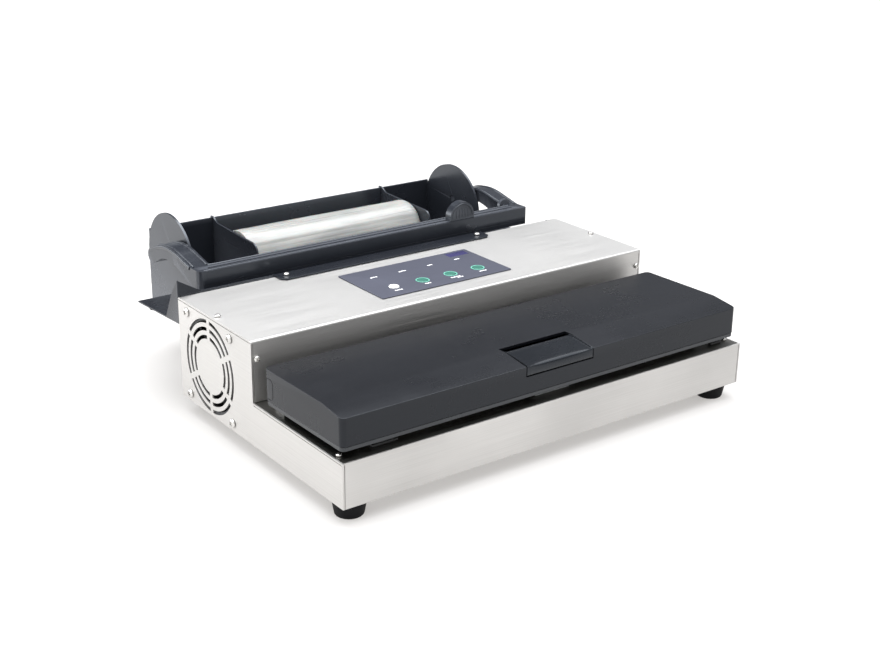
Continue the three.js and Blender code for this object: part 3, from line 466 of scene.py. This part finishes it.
def turn_outline(bm, points, centre):
    """Turns a line of points once about the vertical axis through a centre."""
    verts = [bm.verts.new(point) for point in points]
    edges = [bm.edges.new(pair) for pair in zip(verts, verts[1:])]
    bmesh.ops.spin(
        bm, geom=verts + edges, cent=centre, axis=(0, 0, 1), angle=math.tau, steps=24, use_duplicate=False,
    )
    bmesh.ops.remove_doubles(bm, verts=bm.verts, dist=1e-6)


def sweep_rings(bm, points, up, profile):
    """A closed profile of (side, up) pairs in mm, carried along points, with both ends capped."""
    rings = []
    for i, point in enumerate(points):
        along = (points[min(i + 1, len(points) - 1)] - points[max(i - 1, 0)]).normalized()
        side = along.cross(up).normalized()
        over = side.cross(along)
        rings.append([bm.verts.new(point + side * a * MM + over * b * MM) for a, b in profile])
    loft(bm, rings)


def bead_profile(half_width, height):
    """A half-oval bead that starts a little below the surface."""
    steps, sink = 6, 0.4
    arc = [math.pi * i / steps for i in range(steps + 1)]
    oval = [(-half_width * math.cos(a), height * math.sin(a)) for a in arc]
    return [(-half_width, -sink), *oval, (half_width, -sink)]


def bead(name, node_name, points, up, half_width, height):
    """A raised bead along points on a CAD node's surface."""
    bm = bmesh.new()
    sweep_rings(bm, points, up, bead_profile(half_width, height))
    piece = finish_mesh(bm, name, [MATERIALS[node_slots[node_name]]], 50)
    return detail(piece, node_name)


def arc_points(centre, radius, start, end, place_point, steps=16):
    """Points along an arc from start to end degrees; place_point turns a plane's coordinates into a point."""
    angles = [math.radians(start + (end - start) * i / steps) for i in range(steps + 1)]
    return [place_point(centre[0] + radius * math.cos(a), centre[1] + radius * math.sin(a)) for a in angles]


def carve(piece, fill):
    """Cuts away the shapes that fill() puts in a bmesh."""
    bm = bmesh.new()
    fill(bm)
    bmesh.ops.recalc_face_normals(bm, faces=bm.faces)
    mesh = bpy.data.meshes.new("carving")
    bm.to_mesh(mesh)
    bm.free()
    tool = bpy.data.objects.new("carving", mesh)
    bpy.context.scene.collection.objects.link(tool)
    modifier = piece.modifiers.new("carve", "BOOLEAN")
    modifier.object = tool
    modifier.operation = "DIFFERENCE"
    modifier.solver = "EXACT"
    modifier.use_self = True
    shaped = bpy.data.meshes.new_from_object(piece.evaluated_get(bpy.context.evaluated_depsgraph_get()))
    piece.modifiers.clear()
    piece.data = shaped
    bpy.data.objects.remove(tool)
    return piece


# ---------------------------------------------------------------- housing and deck

HALF_WIDTH = 233
TOWER_FRONT = 146
DEPTH = 285
SEAM = {"half": 0.35, "deep": 1.1, "tower_top": 97.9, "deck_top": 39.7, "inset": 1.9}


def make_housing():
    """The folded steel shell, with the seams where its sides meet its top and front."""
    bm = merged_node("housing_shell")
    round_edges(bm, 0.45, 2)
    shell = finish_mesh(bm, "housing_folded", [MATERIALS["brushed_steel"]])
    half, deep = SEAM["half"], SEAM["deep"]
    level = (
        (SEAM["tower_top"], TOWER_FRONT + 1.2, DEPTH + 1),
        (SEAM["deck_top"], 0.8, TOWER_FRONT - 0.6),
    )
    upright = ((0, -1, 40.4), (TOWER_FRONT, 42.5, 97))

    def seams(cutter):
        for side in (-1, 1):
            low_x, high_x = sorted((side * (HALF_WIDTH + 1), side * (HALF_WIDTH - deep)))
            for z, front, rear in level:
                add_box(cutter, at(low_x, front, z - half), at(high_x, rear, z + half))
            x = side * (HALF_WIDTH - SEAM["inset"])
            for face, low_z, high_z in upright:
                add_box(cutter, at(x - half, face - 1, low_z), at(x + half, face + deep, high_z))

    return stand_in(weighted_normals(carve(shell, seams)), "housing_shell")


make_housing()
# the deck gets the darker copy of the housing's steel, a painted shade from the lid above it
refine("deck_plate", 0.3, 2).data.materials[0] = MATERIALS["deck_steel_painted_shade"]
refine("vacuum_trough", 0.4, 2)


HEAD_HEIGHT = 2.2
HEAD_OUTLINE = [  # radii as shares of the head's, heights in mm
    (0, 0), (0.3, 0), (0.55, -0.12), (0.78, -0.42), (0.93, -0.9), (1.0, -1.5), (0.98, -2.05),
    (0.93, -HEAD_HEIGHT),
]
SHANK_RADIUS = 1.55


def make_screws():
    """Pan heads with a cross recess, one for each CAD screw."""
    facing = {
        "fan": Vector((-1, 0, 0)), "side": Vector((1, 0, 0)), "wall": Vector((0, -1, 0)),
        "cover": Vector((0, 0, 1)), "deck": Vector((0, 0, 1)), "bracket": Vector((0, 0, 1)),
    }
    for name in sorted(frame["nodes"]):
        kind, _, rest = name.partition("_screw_")
        if not rest:
            continue
        out = facing[kind]
        low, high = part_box(name)
        size = high - low
        across = [size[i] for i in range(3) if abs(out[i]) < 0.5]
        radius = max(across) / 2 / MM
        top = Vector(
            high[i] if out[i] > 0 else low[i] if out[i] < 0 else (low[i] + high[i]) / 2 for i in range(3)
        )
        shank = max(size[i] for i in range(3) if abs(out[i]) > 0.5) / MM - HEAD_HEIGHT
        outline = [(share * radius, z) for share, z in HEAD_OUTLINE]
        tip = -HEAD_HEIGHT - shank
        outline += [(SHANK_RADIUS, -HEAD_HEIGHT), (SHANK_RADIUS, tip), (0, tip)]
        turn = out.to_track_quat("Z", "Y").to_matrix()
        bm = bmesh.new()
        turn_outline(bm, [(r * MM, 0, z * MM) for r, z in outline], (0, 0, 0))
        piece = finish_mesh(bm, f"{name}_cross", [MATERIALS["screw_steel"]], 60)
        turned = math.radians(20 + 47 * len(name) + 31 * ord(name[-1]))

        def cross(cutter, radius=radius, turned=turned):
            for quarter in (0, 1):
                reach, half = 0.56 * radius, 0.13 * radius + 0.1
                slot = add_box(cutter, Vector((-reach, -half, -1.2)) * MM, Vector((reach, half, 1)) * MM)
                turning = Matrix.Rotation(turned + quarter * math.pi / 2, 3, "Z")
                bmesh.ops.rotate(cutter, verts=slot, matrix=turning)

        carve(piece, cross)
        piece.data.transform(Matrix.Translation(top) @ turn.to_4x4())
        stand_in(piece, name)


make_screws()

for corner in ("front_left", "front_right", "rear_left", "rear_right"):
    refine(f"foot_{corner}", 1.2, 4)


TABS = {"left": (-196, -170), "right": (205, 219)}


def make_deck_details():
    """The stop tabs at both ends of the sealing bar's groove."""
    for end, (low, high) in TABS.items():
        bm = bmesh.new()
        add_box(bm, at(low, 12.5, 41.3), at(high, 17.5, 43.4))
        add_box(bm, at(low + 3, 13.6, 43.2), at(high - 3, 16.4, 44.4))
        round_edges(bm, 0.5, 2)
        detail(finish_mesh(bm, f"deck_tab_{end}", [MATERIALS["fitting_plastic"]]), "latch_catch")


make_deck_details()
refine("latch_catch", 0.35, 2)
refine("seal_bar", 0.4, 2)
refine("lower_gasket", 0.6, 2)

# ---------------------------------------------------------------- lid

HINGE = (118, 62)
LID_TILT = math.radians(0.69)
LID_PLACE = Matrix.Translation(at(0, *HINGE)) @ Matrix.Rotation(-LID_TILT, 4, "X")
LID = {"half_width": 229.5, "front": -111.7, "rear": 12, "top": 18.8}
BAND_DROP = 4.4
LATCH = {"x": 2.2, "half_width": 38.4, "rear": -78.5, "fold": -85, "sunk": 1.3, "bottom": 5.9, "thick": 2.5}
WINDOW = {"half_width": 42, "rear": -72}
HOOK = {"middles": (-14, 14), "half_width": 4, "front": -103.7, "rear": -100.7, "bottom": -17.8}
TOOTH = {"rear": -97.7, "top": -16.2}


def on_lid(x, y, z):
    """A point in mm about the lid's hinge axis, in the row frame."""
    return LID_PLACE @ (Vector((x, y, z)) * MM)


def make_lid_cover():
    """The lid's cover: rounded edges, crisp ones at the latch window, and a seam at each hinge block."""
    bm = merged_node("lid_cover")
    low = on_lid(LATCH["x"] - WINDOW["half_width"], LID["front"] - 2, 2)
    high = on_lid(LATCH["x"] + WINDOW["half_width"], WINDOW["rear"] + 2, 30)

    def by_window(point):
        return low.x < point.x < high.x and point.y < high.y and point.z > low.z

    round_edges(bm, 1.2, 4, chosen=lambda point: not by_window(point))
    round_edges(bm, 0.35, 2, 50, chosen=by_window)
    cover = finish_mesh(bm, "lid_cover_moulded", [MATERIALS["lid_plastic"]])

    def hinge_seams(cutter):
        square = [(-0.35, -0.3), (0.35, -0.3), (0.35, 0.6), (-0.35, 0.6)]
        for side in (-1, 1):
            x = side * LID["half_width"]
            run = [on_lid(x, LID["rear"] + 2, 10.6)]
            run += arc_points((2.5, 6.1), 4.5, 90, 180, lambda y, z, x=x: on_lid(x, y, z), 5)
            run += arc_points((2.5, -4.1), 4.5, 180, 270, lambda y, z, x=x: on_lid(x, y, z), 5)
            run += [on_lid(x, LID["rear"] + 2, -8.6)]
            sweep_rings(cutter, run, Vector((side, 0, 0)), square)

    return stand_in(weighted_normals(carve(cover, hinge_seams)), "lid_cover")


make_lid_cover()
refine("lid_liner", 0.9).data.materials[0] = MATERIALS["liner_plastic"]
refine("upper_gasket", 0.5, 2)
refine("pressure_strip", 0.4, 2)


def make_latch_flap():
    """The flap with a finger scoop along its front edge, raised rims along its sides, and its two hooks."""
    scoop = {"reach": 0.84, "depth": 1.3, "back": 2.4}
    rim = 0.9
    lip = LID["front"] - 0.1
    level = LID["top"] - LATCH["sunk"]
    band_front = LID["top"] - BAND_DROP
    thick = LATCH["thick"]

    def section(s):
        """The flap's outline at a share s of its half width."""
        dip = scoop["depth"] * max(0, 1 - (s / scoop["reach"]) ** 2) ** 0.6
        raised = rim if abs(s) > 0.972 else 0
        points = [
            (LATCH["rear"], level - thick), (LATCH["rear"], level - 0.7), (LATCH["rear"] - 0.25, level - 0.2),
            (LATCH["rear"] - 0.8, level + raised),
        ]
        for i in range(13):
            t = i / 12
            y = LATCH["fold"] + (lip + 0.8 - LATCH["fold"]) * t
            back = max(0, 1 - (y - lip) / scoop["back"])
            points.append((y, level + (band_front - level) * t + raised - dip * back ** 1.2))
        edge = band_front - dip + raised * 0.5
        points += [
            (lip + 0.3, edge - 0.15), (lip, edge - 0.7), (lip, LATCH["bottom"] + 0.5),
            (lip + 0.3, LATCH["bottom"]), (lip + thick, LATCH["bottom"]),
            (lip + thick, band_front - thick - scoop["depth"] * 0.6), (LATCH["fold"], level - thick),
        ]
        return points

    bm = bmesh.new()
    edges = (1, 0.99, 0.972, 0.965, 0.93, 0.88)
    stations = sorted({-s for s in edges} | set(edges) | {i / 20 for i in range(-17, 18)})
    loft(bm, [
        [bm.verts.new(on_lid(LATCH["x"] + s * LATCH["half_width"], y, z)) for y, z in section(s)]
        for s in stations
    ])
    for x in HOOK["middles"]:
        corner = on_lid(LATCH["x"] + x - HOOK["half_width"], HOOK["front"], HOOK["bottom"])
        right = LATCH["x"] + x + HOOK["half_width"]
        add_box(bm, corner, on_lid(right, HOOK["rear"], band_front - thick + 1.3))
        add_box(bm, corner, on_lid(right, TOOTH["rear"], TOOTH["top"]))
    return stand_in(finish_mesh(bm, "latch_flap_scooped", [MATERIALS["latch_plastic"]], 40), "latch_flap")


make_latch_flap()

# ---------------------------------------------------------------- control panel

PANEL_TOP = 101.1
PRINT_FOOT = PANEL_TOP - 0.05
BUTTON_XS = (-50, -16, 18, 52)
BUTTON_Y = 192.3

refine("control_panel", 0.25, 2)
for key in ("power", "vacuum", "seal", "stop"):
    refine(f"button_{key}", 0.6, 4)


def add_print(bm, x, y, half_width, half_height):
    low = at(x - half_width, y - half_height, PRINT_FOOT)
    high = at(x + half_width, y + half_height, PANEL_TOP + 0.1)
    add_box(bm, low, high)


def make_prints():
    """Generic labels of short white bars, a ring round each green key, and the indicator window."""
    bm = bmesh.new()
    for x, half, shift in zip(BUTTON_XS, (4.5, 3.6, 6.0, 4.4), (0, 0.4, 0, 0)):
        for i in range(4):
            bar_x = x + shift - 1.3 + (i - 1.5) * half * 0.5
            add_print(bm, bar_x, BUTTON_Y - 10.2 - 0.25 * (i % 2), half * 0.2, 0.95)
    for i in range(3):
        add_print(bm, BUTTON_XS[2] + i * 2.6, BUTTON_Y - 13.0, 0.95, 0.8)
    for x, half in zip(BUTTON_XS, (4.6, 4.8, 3.4, 3.4)):
        for i in range(3):
            add_print(bm, x - 1.1 + (i - 1) * half * 0.62, 225.6 + 0.3 * (i % 2), half * 0.26, 0.95)
    detail(finish_mesh(bm, "panel_labels", [MATERIALS["ink_white"]]), "control_panel")

    bm = bmesh.new()
    ring = [(5.75, 0.0), (5.75, 0.32), (6.0, 0.42), (6.7, 0.42), (6.95, 0.32), (6.95, 0.0)]
    circle = arc_points((0, 0), 1, 0, 360, lambda u, v: (u, v), 48)[:-1]
    for x in BUTTON_XS[1:]:
        skin(bm, [
            [bm.verts.new(at(x + u * radius, BUTTON_Y + v * radius, PRINT_FOOT + z)) for radius, z in ring]
            for u, v in circle
        ], closed=True)
    detail(finish_mesh(bm, "panel_rings", [MATERIALS["ink_green"]]), "control_panel")

    bm = bmesh.new()
    add_print(bm, 61, 239.5, 12, 5.4)
    round_edges(bm, 0.9, 3, 60)
    detail(finish_mesh(bm, "panel_window", [MATERIALS["window_dark"]]), "control_panel")


make_prints()

# ---------------------------------------------------------------- roll holder

for name, width in {
    "roll_bracket": 0.5, "roll_tray": 0.6, "roll_divider_left": 0.5, "roll_divider_right": 0.5,
    "roll_core": 0.4,
}.items():
    refine(name, width)

BUMPER = {"x": 222, "y": 362, "z": 68.2}


def make_bumpers():
    """The rubber bumpers under the wings of the bracket."""
    outline = [(0, 0.6), (4.2, 0.6), (5.4, -1.0), (5.4, -4.6), (4.6, -5.8), (0, -5.8)]
    for side, end in ((-1, "left"), (1, "right")):
        bm = bmesh.new()
        x = side * BUMPER["x"]
        points = [at(x + radius, BUMPER["y"], BUMPER["z"] + z) for radius, z in outline]
        turn_outline(bm, points, at(x, BUMPER["y"], 0))
        detail(finish_mesh(bm, f"bracket_bumper_{end}", [MATERIALS["foot_rubber"]]), "roll_bracket")


make_bumpers()

ROLL = {"left": -104.5, "right": 111.5, "y": 400, "z": 80.8, "radius": 33, "core": 19.3}


def make_roll():
    """Wound film: a step where the film ends, thicker borders near both ends, and its layers at the ends."""
    around, layers = 120, 14
    length = ROLL["right"] - ROLL["left"]
    xs = [0, 0.3, 1.2, 2.5, 6, 7.5] + [9 + i * (length - 24) / 40 for i in range(41)]
    xs += [length - 12, length - 9, length - 6, length - 3.5, length - 1.6, length - 0.4, length]
    bm = bmesh.new()

    def radius_at(x, angle):
        """The film's radius at x mm from its left end: its spiral, ripples, borders and rounded ends."""
        turn = (angle / math.tau + 0.62) % 1
        base = ROLL["radius"] - 0.9 + 0.6 * turn
        base += 0.35 * noise.noise(Vector((x * 0.018, math.cos(angle) * 2.2, math.sin(angle) * 2.2)))
        base += 0.12 * noise.noise(Vector((x * 0.12, angle * 7, 3)))
        border = min(x, length - x)
        base += 0.25 * math.exp(-((border - 9) / 2.5) ** 2)
        for near, size in ((x, 2.0), (length - x, 7.0)):
            if near < size:
                base -= size * 0.45 * (1 - math.sqrt(max(0, 1 - (1 - near / size) ** 2)))
        return base

    def end_layers(x, inward):
        """The film's layers at one end, from its outside in to the core."""
        made = []
        edge = radius_at(x, 0)
        for k in range(1, layers + 1):
            share = k / layers
            offset = inward * (0.35 * (k % 2) + 0.5 * math.sin(share * 2.4))
            made.append((x + offset, [edge + (ROLL["core"] - edge) * share] * around))
        return made

    angles = [math.tau * i / around for i in range(around)]
    outside = [(x, [radius_at(x, angle) for angle in angles]) for x in xs]
    rings = []
    for x, radii in [*reversed(end_layers(0, 1)), *outside, *end_layers(length, -1)]:
        points = [
            at(ROLL["left"] + x, ROLL["y"] + radius * math.cos(angle), ROLL["z"] + radius * math.sin(angle))
            for radius, angle in zip(radii, angles)
        ]
        rings.append([bm.verts.new(point) for point in points])
    skin(bm, rings, closed=True)
    return stand_in(finish_mesh(bm, "bag_roll_wound", [MATERIALS["bag_film"]], 40), "bag_roll")


make_roll()

BAR = {"half_width": 203, "top": 114.5}
ARM_TOP = [
    (316, 114.9), (325, 117.0), (335, 118.8), (350, 121.8), (364, 122.8), (380, 121.0), (394, 116.5),
    (406, 111.2),
]
ARM_WIDTH = 20
STOP = {"x": 188, "front": 318.5, "rear": 322.5, "radius": 7.5}


def spline_points(knots, steps=5):
    """A Catmull-Rom curve through (y, z) knots."""
    made = []
    for i in range(len(knots) - 1):
        p = [Vector(knots[max(0, min(len(knots) - 1, i + k))]) for k in (-1, 0, 1, 2)]
        for j in range(steps):
            t = j / steps
            made.append(0.5 * (
                2 * p[1] + (p[2] - p[0]) * t + (2 * p[0] - 5 * p[1] + 4 * p[2] - p[3]) * t ** 2
                + (3 * p[1] - p[0] - 3 * p[2] + p[3]) * t ** 3
            ))
    return made + [Vector(knots[-1])]


def make_cutter():
    """The cutter frame: two ridges along the bar and over each arm, a rim on each outer face, and a stop."""
    refine("cutter_frame", 1.1, 4)
    up = Vector((0, 0, 1))
    half, top = BAR["half_width"], BAR["top"]
    inner = half - ARM_WIDTH

    def along_bar(y, start, end):
        return [at(start + (end - start) * i / 30, y, top) for i in range(31)]

    bead("cutter_ridge_front", "cutter_frame", along_bar(300.6, -half + 6, half - 3), up, 0.8, 0.7)
    curl = [at(-inner - 4 + 3 * math.sin(i * 0.26), 321.5 - 1.1 * i, top + 0.1) for i in range(7)]
    bead("cutter_ridge_rear", "cutter_frame", curl + along_bar(314.4, -inner + 3, inner + 6), up, 1.3, 1.0)
    curve = spline_points(ARM_TOP)
    for side, end in ((-1, "left"), (1, "right")):
        for k, inset in enumerate((3.0, ARM_WIDTH - 3.0)):
            x = side * (half - inset)
            ridge = [at(x, y, z) for y, z in curve]
            bead(f"cutter_arm_{end}_ridge_{k + 1}", "cutter_frame", ridge, up, 0.9, 0.7)
        rim = [at(side * half, y, z - 2.4) for y, z in curve[2:]]
        bead(f"cutter_arm_{end}_rim", "cutter_frame", rim, Vector((side, 0, 0)), 1.9, 0.9)
    bm = bmesh.new()
    half_disc = arc_points((0, 0), STOP["radius"], 0, 180, lambda u, v: (u, v), 12)
    loft(bm, [
        [bm.verts.new(at(STOP["x"] + u, y, top - 1 + v)) for u, v in half_disc]
        for y in (STOP["front"], STOP["rear"])
    ])
    round_edges(bm, 0.8, 3, 40)
    detail(finish_mesh(bm, "cutter_end_stop", [MATERIALS["holder_plastic"]]), "cutter_frame")


make_cutter()
refine("cutter_knob", 0.9, 4)

KNOB = {"x": 114, "z": 118, "front": 299.5, "rim_radius": 13.9}


def make_knob_details():
    """A rim round the front of the knob, and five upright grip lines inside it."""
    arc = arc_points(
        (KNOB["x"], KNOB["z"]), KNOB["rim_radius"], -4, 184, lambda x, z: at(x, KNOB["front"], z), 24,
    )
    bead("cutter_knob_rim", "cutter_knob", arc, Vector((0, -1, 0)), 0.9, 0.8)
    bm = bmesh.new()
    for i in range(-2, 3):
        x = KNOB["x"] + i * 4
        top = KNOB["z"] + 10 - abs(i) * 1.6
        add_box(bm, at(x - 0.5, KNOB["front"] - 0.5, KNOB["z"] - 1), at(x + 0.5, KNOB["front"] + 0.2, top))
    round_edges(bm, 0.3, 2)
    detail(finish_mesh(bm, "cutter_knob_grips", [MATERIALS[node_slots["cutter_knob"]]]), "cutter_knob")


make_knob_details()

# ---------------------------------------------------------------- rear and inside

for name, width in {
    "mains_inlet": 0.5, "rocker_bezel": 0.5, "power_rocker": 0.6, "fan_frame": 0.8, "fan_rotor": 0.4,
    "base_pan": 0.4, "hinge_bracket_left": 0.3, "hinge_bracket_right": 0.3, "pump_crankcase": 1.2,
    "pump_cylinder_head": 1.0, "motor_housing": 0.8, "transformer": 0.8, "solenoid_valve": 0.6,
    "circuit_board": 0.3,
}.items():
    refine(name, width, 2)

# ---------------------------------------------------------------- floor and light


def make_floor():
    """A wide flat floor."""
    bm = bmesh.new()
    bmesh.ops.create_grid(bm, x_segments=8, y_segments=8, size=30)
    finish_mesh(bm, "floor", [white_floor()])


make_floor()


def area_light(name, place_at, size, power, color=(1, 1, 1), aim=(0, 0, 0.05)):
    """A rectangular light that faces its aim. Places and sizes are in metres, power in watts."""
    data = bpy.data.lights.new(name, "AREA")
    data.shape = "RECTANGLE"
    data.size, data.size_y = size
    data.energy = power
    data.color = color
    light = bpy.data.objects.new(name, data)
    bpy.context.scene.collection.objects.link(light)
    light.location = place_at
    light.rotation_euler = (Vector(aim) - Vector(place_at)).to_track_quat("-Z", "Y").to_euler()


def make_world():
    """A studio: bright in front, on the left and overhead, dim low at the rear and on the right."""
    world = bpy.data.worlds.new("studio")
    bpy.context.scene.world = world
    world.use_nodes = True
    tree = world.node_tree
    background = tree.nodes["Background"]
    direction = node(tree, "ShaderNodeTexCoord").outputs["Generated"]
    axes = node(tree, "ShaderNodeSeparateXYZ", Vector=direction).outputs

    def spread(axis, start, end):
        """0 in directions below start along an axis, 1 above end, and smooth between."""
        return node(
            tree, "ShaderNodeMapRange", {"interpolation_type": "SMOOTHSTEP"},
            Value=axes[axis], From_Min=start, From_Max=end, To_Min=0.0, To_Max=1.0,
        ).outputs["Result"]

    rear = blend_colors(tree, spread("Z", 0.40, 0.52), (0.10, 0.105, 0.12), (0.015, 0.018, 0.025))
    color = blend_colors(tree, spread("Y", -0.1, 0.6), (0.90, 0.89, 0.875), rear)
    color = blend_colors(tree, spread("X", 0.2, 0.9), color, (0.35, 0.36, 0.38))
    color = blend_colors(tree, spread("X", -0.45, -0.9), color, (1.15, 1.14, 1.12))
    color = blend_colors(tree, spread("Z", 0.66, 0.88), color, (4.2, 4.3, 4.45))
    tree.links.new(color, background.inputs["Color"])
    background.inputs["Strength"].default_value = 1.0


make_world()
area_light("overhead", (0.3, 0.5, 2.2), (2.4, 1.8), 42)
area_light("left_fill", (-1.9, 1.1, 0.55), (1.6, 0.9), 18, (1, 0.99, 0.97))
area_light("left_strip", (-1.35, 1.75, 0.32), (1.5, 0.5), 8, (0.94, 0.97, 1.0), (-0.2, 0, 0.06))
bpy.context.scene.view_settings.view_transform = "Standard"
